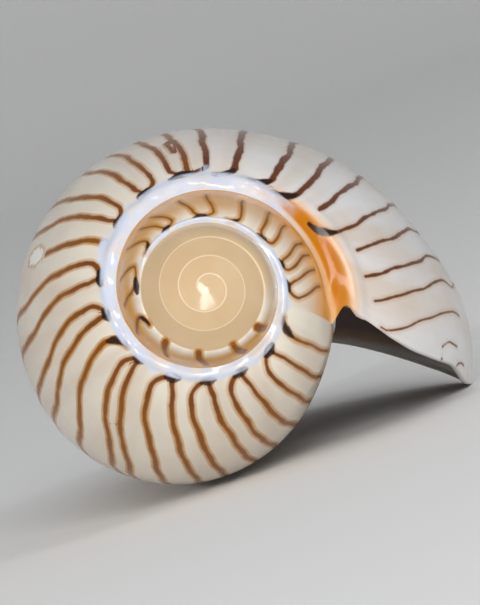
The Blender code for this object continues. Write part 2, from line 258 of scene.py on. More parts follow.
def whorl_fields(turn, radius, depth, below, lean):
    """What each point of the skin carries into the coiling tree and, through it, to the glaze."""
    turn_here = np.broadcast_to(turn, radius.shape)
    above = np.where(turn < LAST_WHORL, below[:, -1:] - below, ENDLESS)
    band = below / rail(BAND_WIDTH, turn)
    milky = (1.0 - smooth_step(turn, *BAND_TURNS)) * smooth_step(turn, *FIRST_BAND_TURNS) + 0.0 * below
    canal_run = smooth_step(turn, *CANAL_TURNS)
    callus_run = (1.0 - smooth_step(turn, *CALLUS_TURNS)) * (turn >= LAST_WHORL)
    strip_width = spire_below[-1, -1]
    roll = hump(band / ROLL_WIDTH) * milky * smooth_step(turn, *ROLL_TURNS)
    next_run = smooth_step(turn + 1.0, *CANAL_TURNS)
    ended = smooth_step(turn + (turn < LAST_WHORL), *CANAL_END)
    inner_side = hump((CANAL_INSIDE - above) / CANAL_WIDTH) * next_run * (1.0 - ended)
    outer_side = hump((CANAL_INSIDE + below) / CANAL_WIDTH) * canal_run * (1.0 - ended)
    canal = np.where(turn < LAST_WHORL, inner_side, outer_side)
    ridge = hump((below - RIDGE_START) / RIDGE_WIDTH) * canal_run
    callus = smooth_step(below, strip_width, strip_width + CALLUS_EDGE) * callus_run
    fine = smooth_step(np.minimum(below, above), 0.0, RIPPLE_EDGE) * smooth_step(turn, *RIPPLE_TURNS)
    share = below / np.maximum(below + above, 1e-6)
    wash = rail(AMBER_WASH, turn) * smooth_step(share, *AMBER_ACROSS)
    peach = rail(PEACH_WASH, turn) * smooth_step(share, *PEACH_ACROSS)
    orange = rail(ORANGE, turn) * smooth_step(below, *ORANGE_RISES)
    orange = orange * (1.0 - smooth_step(below, *ORANGE_FADES))
    orange = orange + CREAM * smooth_step(turn, *CREAM_TURNS) * (1.0 - smooth_step(below, *CREAM_FADES))
    peach = peach + CANAL_PEACH * canal_run * (1.0 - smooth_step(below, *CANAL_PEACH_FADES))
    return {
        "whorl": np.stack([turn_here + lean, radius, depth], axis=-1),
        "relief": np.stack([roll, canal, ridge], axis=-1),
        "ripple": np.stack([turn_here, below, fine], axis=-1),
        "growth": np.stack([turn_here, below, above], axis=-1),
        "glazing": np.stack([band, milky, callus], axis=-1),
        "wash": np.stack([wash, peach, orange], axis=-1),
    }


def grid_faces(first, rows, columns, row_length, close=False):
    """Quads of a grid of points, wound so that they face away from the pillar."""
    row, column = np.mgrid[0:rows, 0:columns]
    after = (column + 1) % columns if close else column + 1
    low = first + row * row_length
    high = low + row_length
    return np.stack([low + column, high + column, high + after, low + after], axis=-1).reshape(-1, 4).tolist()


def add_sheet(name, fields, faces, edges=()):
    """Object of loose points, still in growth measures, for the coiling tree."""
    mesh = bpy.data.meshes.new(name)
    mesh.from_pydata(fields["whorl"].reshape(-1, 3).tolist(), edges, faces)
    for field, values in fields.items():
        attribute = mesh.attributes.new(field, "FLOAT_VECTOR", "POINT")
        attribute.data.foreach_set("vector", np.ravel(values).astype(np.float32))
    item = bpy.data.objects.new(name, mesh)
    bpy.context.scene.collection.objects.link(item)
    return item


def lip_cap():
    """Rows that round the lip's edge forward and in, then rows of thin glaze over the whorl before."""
    lip_radius, lip_depth = body_radius[-1:], body_depth[-1:]
    inwards = np.array(LIP_ROWS)[:, None]
    run_r, run_z = np.gradient(lip_radius, axis=1), np.gradient(lip_depth, axis=1)
    length = np.hypot(run_r, run_z) + 1e-9
    flank_end = STRIP_COLUMNS + SHOULDER_COLUMNS + FLANK_COLUMNS
    column = np.arange(lip_radius.shape[1])
    begun = smooth_step(column, 0, HELD_COLUMNS)
    held = begun * (1.0 - smooth_step(column, flank_end - HELD_COLUMNS, flank_end))
    bead = LIP_BEAD * np.sqrt(np.clip(1.0 - (2.0 * inwards - 1.0) ** 2, 0.0, 1.0)) * held
    wall = lip_wall(body_below[-1:])
    radius = lip_radius - wall * inwards * held * run_z / length
    depth = lip_depth + wall * inwards * held * run_r / length
    lip = lip_lean(0.0, lip_depth)
    lean = lip + bead / (2.0 * math.pi * np.maximum(lip_radius, 5.0))
    spread = np.linspace(0.0, 1.0, FILM_ROWS)[:, None]
    before_r, before_z = body_radius[:1].copy(), body_depth[:1].copy()
    before_r[:, :STRIP_COLUMNS] = before_r[:, STRIP_COLUMNS]
    before_z[:, :STRIP_COLUMNS] = before_z[:, STRIP_COLUMNS]
    film_lean = lip * (1.0 - spread)
    start_z = np.maximum.accumulate(depth[-1:], axis=1)
    film_z = start_z + (before_z - start_z) * spread
    film_r = np.maximum(whorl_radius(film_lean - 1.0, film_z), rail(PILLAR_RADIUS, film_z))
    film_r = film_r + LIP_FILM * (1.0 - spread) * held
    film_r = lip_radius + (film_r - lip_radius) * begun
    film_r[-1:], film_z[-1:] = before_r, before_z
    radius, depth, lean = (np.concatenate(rows) for rows in
                           ((radius, film_r), (depth, film_z), (lean, film_lean)))
    below = np.broadcast_to(body_below[-1], radius.shape)
    fields = whorl_fields(np.zeros((len(radius), 1)), radius, depth, below, lean)
    fields["relief"][len(inwards):] = 0.0
    fields["glazing"][..., 2] = 0.0
    return fields


def skin_sheet():
    spire = whorl_fields(spire_turns, spire_radius, spire_depth, spire_below, 0.0)
    body = whorl_fields(body_turns, body_radius, body_depth, body_below, lip_lean(body_turns, body_depth))
    cap = lip_cap()
    whorl = {key: np.concatenate([body[key], cap[key]]) for key in body}
    strip_length = STRIP_COLUMNS + 1
    body_length = body_radius.shape[1]
    spire_count = len(spire_turns) * strip_length
    faces = grid_faces(0, len(spire_turns) - 1, STRIP_COLUMNS, strip_length)
    faces += grid_faces(spire_count, len(whorl["whorl"]) - 1, body_length - 1, body_length)
    fields = {key: np.concatenate([spire[key].reshape(-1, 3), whorl[key].reshape(-1, 3)]) for key in spire}
    return stitched(fields, faces, strip_length)


def stitched(fields, faces, strip_length):
    """Where a coarse row's outer edge meets a fine whorl, its quad takes the fine whorl's extra points."""
    extra = FINE_ROWS // COARSE_ROWS - 1
    first = round((FINE_TURN - 1.0 - FIRST_TURN) * COARSE_ROWS)
    points = {key: [values] for key, values in fields.items()}
    count = len(fields["whorl"])
    for row in range(first, len(coarse_turns)):
        between = spire_turns[row] + np.arange(1, extra + 1)[:, None] / FINE_ROWS
        radius, depth = strip_section(between)
        edge = whorl_fields(between, radius, depth, run_length(radius, depth), 0.0)
        for key in points:
            points[key].append(edge[key][:, -1])
        quad = row * STRIP_COLUMNS + STRIP_COLUMNS - 1
        inner_low, inner_high, outer_high, outer_low = faces[quad]
        faces[quad] = [inner_low, inner_high, outer_high, *range(count + extra - 1, count - 1, -1), outer_low]
        count += extra
    return {key: np.concatenate(parts) for key, parts in points.items()}, faces


skin = add_sheet("skin", *skin_sheet())

# ------------------------------------------------------------------------------------------------------------
# The hollow of the tube, as far back as it can be seen: the animal's own room, with four oblique folds on the
# pillar. It is a ring of points round the tube for each row, cut out of the skin by the tree.

TUBE_TURNS = (-0.9, 0.05)
TUBE_ROWS = 160
TUBE_POINTS = 110
TUBE_ROUND = (0.55, 0.06)    # how square the hollow's corners are, inside and at the lip: 1 is an ellipse
TUBE_TOP = 1.6           # below the suture
TUBE_TOP_SUNK = 1.2      # further below it under the canal
TUBE_FOOT = 4.0          # above the rim, until the siphon opens
TUBE_PAST_TIP = 3.0      # the open siphon is cut this far past the tip
LEAST_ROOM = 0.3         # between the wall and the pillar
NOTCH_TURNS = (-0.06, -0.01)     # here the hollow comes up to the thin edge of the canal's floor
NOTCH_RISE = 2.2
ROUND_TURNS = (-0.3, -0.03)      # here its corners change from inside to lip
THINNING_TURNS = (-0.2, 0.0)     # and here the wall thins towards the lip
LIP_FACE = 0.04                  # the lip's rounded face takes this much more
FOLD_COUNT = 4
FOLD_HEIGHT = 0.8
FOLD_SPACING = 5.0
FOLD_FIRST_DEPTH = 45.0
FOLD_LEAD = 26.0         # how far a fold climbs the pillar in one turn


def fold_height(turn, depth):
    phase = (depth - FOLD_FIRST_DEPTH - FOLD_LEAD * turn) / FOLD_SPACING
    inside = (phase > -0.5) & (phase < FOLD_COUNT - 0.5)
    return np.where(inside, FOLD_HEIGHT * np.cos(math.pi * (phase - np.round(phase))) ** 2, 0.0)


def tube_sheet():
    turn = np.linspace(*TUBE_TURNS, TUBE_ROWS)[:, None]
    suture, rim = rail(SUTURE_DEPTH, turn), rail(RIM_DEPTH, turn)
    sunk = TUBE_TOP_SUNK * smooth_step(turn, *CANAL_TURNS)
    top = suture + TUBE_TOP + sunk - NOTCH_RISE * smooth_step(turn, *NOTCH_TURNS)
    foot = rim - TUBE_FOOT
    bottom = foot + smooth_step(turn, *SIPHON_TURNS) * (TIP_DEPTH + TUBE_PAST_TIP - foot)
    around = np.linspace(0.0, 2.0 * math.pi, TUBE_POINTS, endpoint=False)[None, :]
    depth = 0.5 * (top + bottom) - 0.5 * (bottom - top) * np.cos(around)
    lean = lip_lean(turn, depth)
    wall = WALL + (lip_wall(depth - suture) + LIP_FACE - WALL) * smooth_step(turn, *THINNING_TURNS)
    outer = whorl_radius(turn, np.minimum(depth, rim - 0.01)) - wall
    inner = np.maximum(whorl_radius(turn + lean - 1.0, depth), rail(PILLAR_RADIUS, depth)) + CALLUS
    inner = inner + fold_height(turn, depth)
    outer = np.maximum(outer, inner + LEAST_ROOM)
    squareness = TUBE_ROUND[0] + (TUBE_ROUND[1] - TUBE_ROUND[0]) * smooth_step(turn, *ROUND_TURNS)
    side = np.sign(np.sin(around)) * np.abs(np.sin(around)) ** squareness
    radius = inner + (outer - inner) * 0.5 * (1.0 + side)
    whorl = np.stack([np.broadcast_to(turn, depth.shape) + lean, radius, depth], axis=-1)
    growth = np.stack([np.broadcast_to(turn, depth.shape), depth - suture, 0.5 * (1.0 + side) + 0.0 * depth],
                      axis=-1)
    ends = [values[[0, -1]].mean(axis=1) for values in (whorl, growth)]
    whorl, growth = (np.concatenate([values.reshape(-1, 3), end])
                     for values, end in zip((whorl, growth), ends))
    faces = grid_faces(0, len(turn) - 1, TUBE_POINTS, TUBE_POINTS, close=True)
    back, front, last_row = len(whorl) - 2, len(whorl) - 1, (len(turn) - 1) * TUBE_POINTS
    for point in range(TUBE_POINTS):
        after = (point + 1) % TUBE_POINTS
        faces.append([back, point, after])
        faces.append([front, last_row + after, last_row + point])
    zeros = np.zeros_like(whorl)
    return {"whorl": whorl, "growth": growth, "glazing": zeros, "wash": zeros}, faces


tube = add_sheet("tube", *tube_sheet())

# ------------------------------------------------------------------------------------------------------------
# The colour lines: each is where the mantle's edge stood when it laid pigment down, so it runs from suture to
# siphon. Most come in pairs that rise to one dark blot at the edge of the glazed band.

# Turns at which the lines cross the shoulder, oldest first
PAIRED = ((-1.535, -1.478), (-1.378, -1.350), (-1.303, -1.263), (-1.162, -1.129), (-1.092, -1.070),
          (-1.048, -1.019), (-0.918, -0.885), (-0.851, -0.8185), (-0.7915, -0.757), (-0.729, -0.694),
          (-0.659, -0.639), (-0.568, -0.545), (-0.512, -0.483), (-0.4205, -0.397), (-0.367, -0.3425),
          (-0.319, -0.274))
HOOKED = (-1.592, -1.4185, -1.209, -0.953, -0.600, -0.2405, -0.196, -0.163, -0.1045)
PLAIN = ((-1.93, 0.3, 2.2), (-1.853, 0.0, 2.2), (-1.763, 0.1, 2.6), (-1.678, 0.2, 2.4),
         (-0.452, 1.6, 9.8), (-0.3045, 5.5, 8.5), (-0.2975, 2.2, ENDLESS), (-0.135, 2.4, ENDLESS),
         (-0.0805, 3.3, ENDLESS), (-0.0535, 3.1, ENDLESS), (-0.029, 3.6, ENDLESS),
         (-0.0005, 4.3, 17.5))        # (turn, start, end), both below the suture
LIP_MARKS = (((-0.01, 12.8), (-0.014, 13.4), (-0.0155, 14.3), (-0.015, 16.0)),      # (turn, below)
             ((-0.003, 16.2), (-0.006, 16.6), (-0.0075, 17.6), (-0.007, 18.3)),
             ((-0.002, 12.7), (-0.003, 13.2)))
SHOULDER = ((-2.0, 0.9), (-1.1, 1.0), (-0.95, 2.3), (0.0, 2.5))     # where the crossing is, below the suture
SLANT = ((-2.0, -0.03), (-1.4, -0.03), (-1.2, -0.01), (-1.05, -0.02), (-0.92, -0.034), (-0.7, -0.048),
         (-0.6, -0.058), (-0.5, -0.044), (-0.42, -0.028), (-0.36, -0.012), (-0.3, -0.008), (-0.25, 0.002),
         (-0.15, -0.006), (-0.08, -0.012), (0.0, -0.034))    # turns a line falls back over its upper run
SLANT_RUN = 13.0         # length of that run on the last whorl
SPIRE_SLANT_RUN = 3.0
LEANING_RUN = (10.0, 20.0)           # further down it comes to lean as the lip does
SMALL_WANDER = (0.08, 8.0)           # (reach, wave)
LARGE_WANDER = (0.35, 23.0)
SPIRE_LINE_END = 0.72                # share of the spire whorl that a line crosses at most
LINE_WIDTH = ((-2.0, 0.28), (-1.65, 0.2), (-1.5, 0.09), (-1.0, 0.1), (-0.8, 0.17), (-0.6, 0.19),
              (-0.44, 0.19), (-0.35, 0.18), (-0.24, 0.27), (-0.16, 0.22), (-0.1, 0.15), (-0.04, 0.12),
              (0.0, 0.09))            # half widths
LINE_TONE = ((-2.0, 0.0), (-1.2, 0.05), (-1.0, 0.15), (-0.85, 0.05), (-0.6, 0.0), (-0.4, 0.05), (-0.3, 0.35),
             (-0.24, 0.8), (0.0, 0.7))                        # 0 is golden brown, 1 dark red brown
POINT_STEP = 0.35
SEED = 7

rows_turn = np.concatenate([spire_turns[:-1], body_turns]).ravel()
rows_section = ([(spire_below[k], spire_radius[k], spire_depth[k]) for k in range(len(spire_turns) - 1)]
                + [(body_below[k], body_radius[k], body_depth[k]) for k in range(len(body_turns))])
flank_below = body_below[:, STRIP_COLUMNS + SHOULDER_COLUMNS + FLANK_COLUMNS]
rng = np.random.default_rng(SEED)


def on_skin(turn, below):
    """Radius and depth of points of the skin, each given by its turn and its distance below the suture."""
    row = np.interp(turn, rows_turn, np.arange(len(rows_turn)))
    low = np.minimum(row.astype(int), len(rows_turn) - 2)
    found = []
    for share, index, under in zip(row - low, low, below):
        near, far = rows_section[index], rows_section[index + 1]
        found.append([(1.0 - share) * np.interp(under, near[0], near[k])
                      + share * np.interp(under, far[0], far[k]) for k in (1, 2)])
    return np.array(found).T


def wander(length, reach, wave):
    """A slow, smooth wobble along a line."""
    phase = rng.uniform(0.0, 2.0 * math.pi, 2)
    return reach * (np.sin(2.0 * math.pi * length / wave + phase[0])
                    + 0.5 * np.sin(2.0 * math.pi * length / (0.43 * wave) + phase[1]))


def fallen_back(turn, below):
    """Turns by which a line lies behind its crossing of the shoulder, at a distance below the suture."""
    growth = DEPTH_GROWTH ** turn
    crossing = float(rail(SHOULDER, turn))
    run = SLANT_RUN if turn > LAST_WHORL else SPIRE_SLANT_RUN
    share = np.clip((below - crossing) / run, -0.2, 1.0)
    upper = rail(SLANT, turn) * (0.75 * share - 0.25 * share ** 3 + 0.5 * smooth_step(share, 0.0, 1.0))
    leaning = rail(LIP_LEAN, np.maximum(below - crossing, 0.0) / growth)
    return upper + leaning * smooth_step(below, *LEANING_RUN)


def line_run(turn, first, last):
    """The long part of a line, as (turn, below) points."""
    if turn < LAST_WHORL:
        last = min(last, SPIRE_LINE_END * float(np.interp(turn, spire_turns.ravel(), spire_below[:, -1])))
    else:
        last = min(last, float(np.interp(turn, body_turns.ravel(), flank_below)) + 1.0)
    below = np.arange(first, max(last, first + 2.0 * POINT_STEP), POINT_STEP)
    radius = on_skin(np.full(len(below), turn), below)[0]
    reach = wander(below, *SMALL_WANDER) + wander(below, *LARGE_WANDER) * smooth_step(below, 12.0, 30.0)
    path = turn + fallen_back(turn, below) + reach * smooth_step(below - first, 0.0, 3.0) / (6.28 * radius)
    bare = (path > LAST_WHORL + 0.002) | (turn < LAST_WHORL)      # the rest is under the lip
    return np.stack([path, below], axis=-1)[bare]


def rising(turn, blot, blot_below):
    """The first line of a pair: straight up from its crossing to the blot."""
    u = np.linspace(0.0, 1.0, 8)[:-1]
    crossing = float(rail(SHOULDER, turn))
    return np.stack([blot + (turn - blot) * u ** 1.3, blot_below + (crossing - blot_below) * u], axis=-1)


def arching(turn, blot, blot_below):
    """The second line of a pair, or a hook: level at the blot, then bending down to its crossing."""
    u = np.linspace(0.0, 0.5 * math.pi, 12)[:-1]
    crossing = float(rail(SHOULDER, turn))
    return np.stack([blot + (turn - blot) * np.sin(u),
                     blot_below + (crossing - blot_below) * (1.0 - np.cos(u))], axis=-1)


def chained(paths):
    """One field set for many paths of (turn, below, half width, tone), with an edge between neighbours."""
    rows = np.concatenate(paths)
    grown, lean = rows[:, 0], 0.0
    for _ in range(4):             # the row that leans to where the point is
        radius, depth = on_skin(grown, rows[:, 1])
        lean = lip_lean(grown, depth) * (grown > LAST_WHORL)
        grown = np.minimum(rows[:, 0] - lean, 0.0)
    radius, depth = on_skin(grown, rows[:, 1])
    starts = np.cumsum([0] + [len(path) for path in paths])
    edges = [(k, k + 1) for start, end in zip(starts, starts[1:]) for k in range(start, end - 1)]
    return {"whorl": np.stack([grown + lean, radius, depth], axis=-1),
            "ink": np.stack([rows[:, 2], rows[:, 3], np.zeros(len(rows))], axis=-1)}, edges


def inked(path, width, tone):
    width, tone = (np.broadcast_to(value, len(path)) for value in (width, tone))
    return np.column_stack([path, width, tone])


def line_paths():
    lines, blots = [], []
    for first, second in PAIRED:
        blot_below = 0.9 * float(rail(BAND_WIDTH, first)) + 0.1
        blot = first + 0.25 * (second - first)
        for turn, top in ((first, rising), (second, arching)):
            crossing = float(rail(SHOULDER, turn))
            path = np.concatenate([top(turn, blot, blot_below), line_run(turn, crossing, ENDLESS)])
            redder = 0.4 * (1.0 - smooth_step(path[:, 1], 2.0, 6.0)) * smooth_step(turn, -1.2, -0.8)
            lines.append(inked(path, rail(LINE_WIDTH, turn), rail(LINE_TONE, turn) + redder))
        reach = 0.28 * (second - first)
        strength = rng.uniform(0.75, 1.0)
        along = np.linspace(-1.0, 1.0, 7)
        blob = np.column_stack([blot + reach * along, blot_below + 0.1 * along])
        broad = strength * (0.5 - 0.2 * along ** 2) * (0.6 if first < -1.0 else 1.0)
        blots.append(inked(blob, broad, strength))
    for turn in HOOKED:
        start = turn - 0.024
        below = 0.8 * float(rail(BAND_WIDTH, start))
        hook = arching(turn, start, below)
        path = np.concatenate([hook, line_run(turn, float(rail(SHOULDER, turn)), ENDLESS)])
        lines.append(inked(path, rail(LINE_WIDTH, turn), rail(LINE_TONE, turn)))
        thick = np.interp(np.linspace(0.0, 1.0, len(hook)), [0.0, 0.6, 1.0], [0.12, 0.34, 0.1])
        blots.append(inked(hook, thick * (0.6 if turn < -1.0 else 1.0), 0.9))
    for turn, first, last in PLAIN:
        path = line_run(turn, first, last)
        lines.append(inked(path, rail(LINE_WIDTH, turn), rail(LINE_TONE, turn)))
    lines += [inked(np.array(mark), 0.09, 0.8) for mark in LIP_MARKS]
    return lines, blots


line_fields, blot_fields = (chained(paths) for paths in line_paths())
colour_lines = add_sheet("colour_lines", line_fields[0], [], line_fields[1])
dark_blots = add_sheet("dark_blots", blot_fields[0], [], blot_fields[1])

# ------------------------------------------------------------------------------------------------------------
# Glazed shell: aragonite laid down in fine layers and polished by the animal's mantle. To the eye it is warm
# ivory porcelain with a wet shine, faint streaks along the growth, and light going a little way into it.

IVORY = "#DDD5C6"
COOL_IVORY = "#D9D9DA"
STREAK = "#C9B9A8"
FIRST_SHELL = "#C8AA82"       # the smooth dome that the animal hatched with
FIRST_SHELL_CLOUD = "#DCC4A0"
FIRST_SHELL_THREAD = "#DFCBAB"
AMBER = "#CC8E26"
PEACH = "#D8984E"
LIGHT_ORANGE = "#DDA254"
DEEP_ORANGE = "#C07200"
MILK = "#C8D0E2"
GOLDEN_LINE = "#824A02"
RED_LINE = "#54220C"
LINE_HALO = "#B87C10"
BLOT = "#180808"
CHIP_TURN = -0.4745           # the chip's middle
CHIP_BELOW = 12.2
CHIP_STRETCH = (98.0, 0.5)    # its measures along a turn and down the flank
CHIP_EDGE = "#B98A3E"
CHALK = "#EEEAE2"
LIP_IVORY = "#D6D0C6"
# The throat's browns: its own brown near the lip, then darker deeper in as painted shade inside the hollow.
THROAT_BROWNS_AND_SHADE = ((-0.001, -0.008, "#A8743C"), (-0.006, -0.018, "#6A3206"),
                 (-0.03, -0.2, "#3E1A04"))         # each sets in between these turns
NEAR_MARK = 0.28              # nearer than this, the offset alone says how far off a mark is
HALO_REACH = 0.42             # from the edge of a line
MILLIMETRE = 0.001


def srgb(hex_colour):
    """A hex colour as linear red, green, blue and alpha."""
    values = [int(hex_colour[k:k + 2], 16) / 255.0 for k in (1, 3, 5)]
    return [v / 12.92 if v < 0.04045 else ((v + 0.055) / 1.055) ** 2.4 for v in values] + [1.0]


def node(tree, kind, inputs=(), **settings):
    """Adds a node. A key is an input's name or number, and a value that is a node means its first output."""
    made = tree.nodes.new(kind)
    for key, value in settings.items():
        setattr(made, key, value)
    for key, value in dict(inputs).items():
        socket = made.inputs[key] if isinstance(key, int) else next(
            shown for shown in made.inputs if shown.name == key and shown.enabled)
        if isinstance(value, bpy.types.Node):
            value = next(output for output in value.outputs if output.enabled)
        if isinstance(value, bpy.types.NodeSocket):
            tree.links.new(value, socket)
        else:
            socket.default_value = value
    return made


def glazed_shell():
    material = bpy.data.materials.new("glazed_ivory_shell")
    material.use_nodes = True
    tree = material.node_tree
    tree.nodes.clear()
    turn, below, above = node(tree, "ShaderNodeSeparateXYZ", {0: node(tree, "ShaderNodeAttribute",
                              attribute_name="growth").outputs["Vector"]}).outputs
    band, milky, callus = node(tree, "ShaderNodeSeparateXYZ", {0: node(tree, "ShaderNodeAttribute",
                               attribute_name="glazing").outputs["Vector"]}).outputs
    amber, peach, orange = node(tree, "ShaderNodeSeparateXYZ", {0: node(tree, "ShaderNodeAttribute",
                                attribute_name="wash").outputs["Vector"]}).outputs
    place = node(tree, "ShaderNodeTexCoord").outputs["Object"]

    # Clouds a few millimetres wide, and streaks a third of a millimetre apart along the growth
    clouds = node(tree, "ShaderNodeTexNoise",
                  {"Vector": place, "Scale": 1.0 / (4.0 * MILLIMETRE), "Detail": 3.0})
    specks = node(tree, "ShaderNodeTexNoise",
                  {"Vector": place, "Scale": 1.0 / (0.5 * MILLIMETRE), "Detail": 2.0})
    along = node(tree, "ShaderNodeMath", {0: turn, 1: 210.0}, operation="MULTIPLY")
    down = node(tree, "ShaderNodeMath", {0: below, 1: 0.09}, operation="MULTIPLY")
    rows = node(tree, "ShaderNodeCombineXYZ", {"X": along, "Y": down})
    streaks = node(tree, "ShaderNodeTexNoise", {"Vector": rows, "Scale": 1.0, "Detail": 0.5})
    dome = node(tree, "ShaderNodeMapRange", {0: turn, 1: -1.97, 2: -2.06}, interpolation_type="SMOOTHSTEP")
    streaks = node(tree, "ShaderNodeMix", {"Factor": dome, "A": streaks, "B": 0.5}, data_type="FLOAT")
    cool = node(tree, "ShaderNodeMapRange", {0: turn, 1: -0.45, 2: -0.15}, interpolation_type="SMOOTHSTEP")
    colour = node(tree, "ShaderNodeMix", {"Factor": cool, "A": srgb(IVORY), "B": srgb(COOL_IVORY)},
                  data_type="RGBA")
    seasons = node(tree, "ShaderNodeCombineXYZ", {"X": node(tree, "ShaderNodeMath", {0: turn, 1: 26.0},
                                                           operation="MULTIPLY"),
                                                 "Y": node(tree, "ShaderNodeMath", {0: below, 1: 0.05},
                                                           operation="MULTIPLY")})
    seasons = node(tree, "ShaderNodeTexNoise", {"Vector": seasons, "Scale": 1.0, "Detail": 1.0})
    streaked = node(tree, "ShaderNodeMapRange", {0: streaks, 1: 0.45, 2: 0.75, 3: 0.0, 4: 0.07})
    clouded = node(tree, "ShaderNodeMapRange", {0: clouds, 1: 0.4, 2: 0.75, 3: 0.0, 4: 0.35})
    banded = node(tree, "ShaderNodeMapRange", {0: seasons, 1: 0.45, 2: 0.65, 3: 0.0, 4: 0.45})
    uneven = node(tree, "ShaderNodeMath", {0: streaked, 1: clouded}, operation="ADD")
    uneven = node(tree, "ShaderNodeMath", {0: uneven, 1: banded}, operation="ADD")
    colour = node(tree, "ShaderNodeMix", {"Factor": uneven, "A": colour, "B": srgb(STREAK)}, data_type="RGBA")

    # Washes of amber, peach and orange, broken up by the clouds
    deep_orange = node(tree, "ShaderNodeMapRange", {0: orange, 1: 0.45, 2: 0.95},
                       interpolation_type="SMOOTHSTEP")
    for share, tint, least in ((amber, AMBER, 0.6), (peach, PEACH, 0.7), (orange, LIGHT_ORANGE, 1.0),
                               (deep_orange, DEEP_ORANGE, 0.8)):
        patchy = node(tree, "ShaderNodeMapRange", {0: clouds, 1: 0.25, 2: 0.55, 3: least, 4: 1.0})
        share = node(tree, "ShaderNodeMath", {0: share, 1: patchy}, operation="MULTIPLY")
        colour = node(tree, "ShaderNodeMix", {"Factor": share, "A": colour, "B": srgb(tint)},
                      data_type="RGBA")
    spread = node(tree, "ShaderNodeMath", {0: callus, 1: 0.75}, operation="MULTIPLY")
    colour = node(tree, "ShaderNodeMix", {"Factor": spread, "A": colour, "B": srgb(PEACH)}, data_type="RGBA")

    # A chip on the flank, down to a chalky layer, with a yellowed edge
    chip_across = node(tree, "ShaderNodeMath", {0: turn, 1: CHIP_STRETCH[0], 2: -CHIP_TURN * CHIP_STRETCH[0]},
                       operation="MULTIPLY_ADD")
    chip_down = node(tree, "ShaderNodeMath", {0: below, 1: CHIP_STRETCH[1], 2: -CHIP_BELOW * CHIP_STRETCH[1]},
                     operation="MULTIPLY_ADD")
    chip_place = node(tree, "ShaderNodeCombineXYZ", {"X": chip_across, "Y": chip_down})
    reach = node(tree, "ShaderNodeVectorMath", {0: chip_place}, operation="LENGTH").outputs["Value"]
    reach = node(tree, "ShaderNodeMath", {0: specks, 1: 1.0, 2: reach}, operation="MULTIPLY_ADD")

    # The hatchling's dome is plain tan, with a pale thread along its suture
    first = node(tree, "ShaderNodeMix",
                 {"Factor": clouded, "A": srgb(FIRST_SHELL), "B": srgb(FIRST_SHELL_CLOUD)}, data_type="RGBA")
    thread = node(tree, "ShaderNodeMapRange", {0: below, 1: 0.16, 2: 0.07}, interpolation_type="SMOOTHSTEP")
    first = node(tree, "ShaderNodeMix", {"Factor": thread, "A": first, "B": srgb(FIRST_SHELL_THREAD)},
                 data_type="RGBA")
    colour = node(tree, "ShaderNodeMix", {"Factor": dome, "A": colour, "B": first}, data_type="RGBA")

    # Lines, with an amber halo where they are golden, then the blots. Width wavers with the specks
    wavering = node(tree, "ShaderNodeTexNoise", {"Vector": place, "Scale": 1.0 / (1.2 * MILLIMETRE)})
    waver = node(tree, "ShaderNodeMapRange", {0: wavering, 1: 0.3, 2: 0.7, 3: 0.75, 4: 1.25})
    for marks, halo, steep in (("line", 0.85, 4.0), ("blot", 0.0, 1.0)):
        offset = node(tree, "ShaderNodeAttribute", attribute_name=marks + "_offset").outputs["Vector"]
        ink = node(tree, "ShaderNodeAttribute", attribute_name=marks + "_ink").outputs["Vector"]
        distance, width, tone = node(tree, "ShaderNodeSeparateXYZ", {0: ink}).outputs
        across = node(tree, "ShaderNodeVectorMath", {0: offset}, operation="LENGTH").outputs["Value"]
        least = node(tree, "ShaderNodeMath", {0: distance, 1: NEAR_MARK}, operation="SUBTRACT")
        least = node(tree, "ShaderNodeMath", {0: least, 1: steep}, operation="MULTIPLY")
        across = node(tree, "ShaderNodeMath", {0: across, 1: least}, operation="MAXIMUM")
        width = node(tree, "ShaderNodeMath", {0: width, 1: waver}, operation="MULTIPLY")
        past = node(tree, "ShaderNodeMath", {0: across, 1: width}, operation="SUBTRACT")
        if halo:
            glow = node(tree, "ShaderNodeMapRange", {0: past, 1: HALO_REACH, 2: 0.0, 3: 0.0, 4: halo},
                        interpolation_type="SMOOTHSTEP")
            pale = node(tree, "ShaderNodeMath", {0: 1.0, 1: tone}, operation="SUBTRACT")
            glow = node(tree, "ShaderNodeMath", {0: glow, 1: pale}, operation="MULTIPLY")
            colour = node(tree, "ShaderNodeMix", {"Factor": glow, "A": colour, "B": srgb(LINE_HALO)},
                          data_type="RGBA")
            paint = node(tree, "ShaderNodeMix", {"Factor": tone, "A": srgb(GOLDEN_LINE), "B": srgb(RED_LINE)},
                         data_type="RGBA")
        else:
            paint = srgb(BLOT)
        drawn = node(tree, "ShaderNodeMapRange", {0: past, 1: 0.08, 2: -0.08, 3: 0.0, 4: 1.0},
                     interpolation_type="SMOOTHSTEP")
        if not halo:
            drawn = node(tree, "ShaderNodeMath", {0: drawn, 1: tone}, operation="MULTIPLY")
        colour = node(tree, "ShaderNodeMix", {"Factor": drawn, "A": colour, "B": paint}, data_type="RGBA")

    for outer, inner, most, tint in ((1.9, 1.5, 0.55, CHIP_EDGE), (1.4, 1.25, 1.0, CHALK)):
        chipped = node(tree, "ShaderNodeMapRange", {0: reach, 1: outer, 2: inner, 3: 0.0, 4: most},
                       interpolation_type="SMOOTHSTEP")
        colour = node(tree, "ShaderNodeMix", {"Factor": chipped, "A": colour, "B": srgb(tint)},
                      data_type="RGBA")

